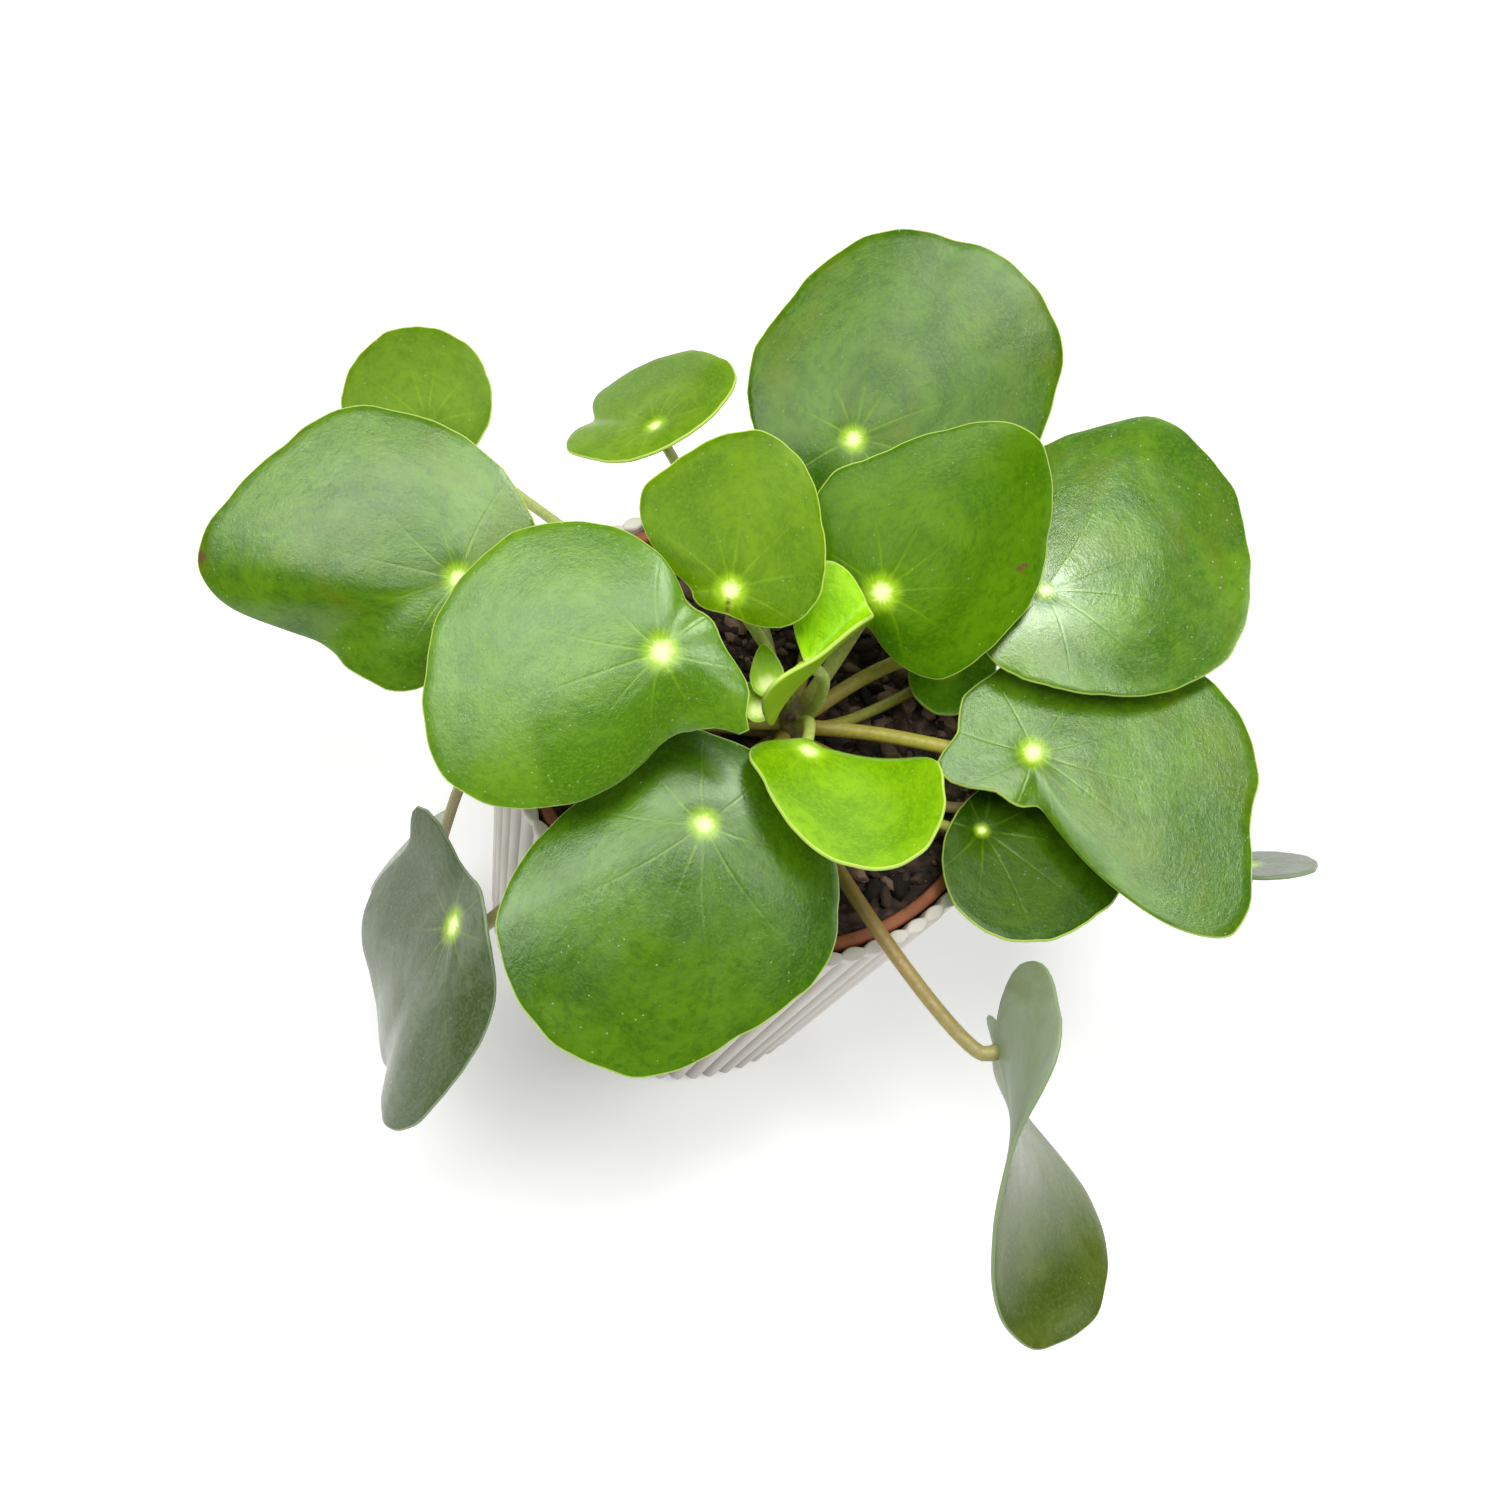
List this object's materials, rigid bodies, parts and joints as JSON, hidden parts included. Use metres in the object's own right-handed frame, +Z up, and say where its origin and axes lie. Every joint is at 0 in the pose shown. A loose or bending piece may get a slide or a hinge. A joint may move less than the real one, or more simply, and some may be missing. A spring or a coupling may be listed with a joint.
{
  "type": "potted plant",
  "caption": "Potted plant with round glossy leaves on long stalks that fan out from a short stem, in a terracotta nursery pot inside a thin off-white fluted cover pot.",
  "frame": {"origin": "centre of the cover pot's underside", "axes": "+Z up out of the pot, -Y toward the viewer of the picture, +X to the viewer's right"},
  "size_m": [0.2616, 0.2237, 0.1661],
  "materials": {
    "cover_pot": "satin off-white",
    "nursery_pot": "matt terracotta",
    "soil": "rough crumbly compost",
    "stem": "matt woody",
    "leaf_mature": "glossy leaf",
    "leaf_deep": "glossy leaf",
    "leaf_young": "glossy leaf",
    "leaf_satin": "satin leaf"
  },
  "bodies": {
    "root": {"cover_pot": "cover_pot", "nursery_pot": "nursery_pot", "soil": "soil", "stem": "stem", "leaf_left": "leaf_mature", "leaf_upper_left": "leaf_young", "leaf_middle_left": "leaf_mature", "leaf_top": "leaf_mature", "leaf_young_middle": "leaf_young", "leaf_young_top": "leaf_young", "leaf_young_folded": "leaf_young", "leaf_lower_left": "leaf_satin", "leaf_bottom": "leaf_deep", "leaf_middle_right": "leaf_mature", "leaf_hanging": "leaf_satin", "leaf_right": "leaf_mature", "leaf_small_inner": "leaf_deep", "leaf_right_broad": "leaf_mature", "leaf_far_right": "leaf_satin", "leaf_lower_right": "leaf_deep", "leaf_young_bottom": "leaf_young", "leaf_far_left_low": "leaf_satin"}
  },
  "joints": []
}
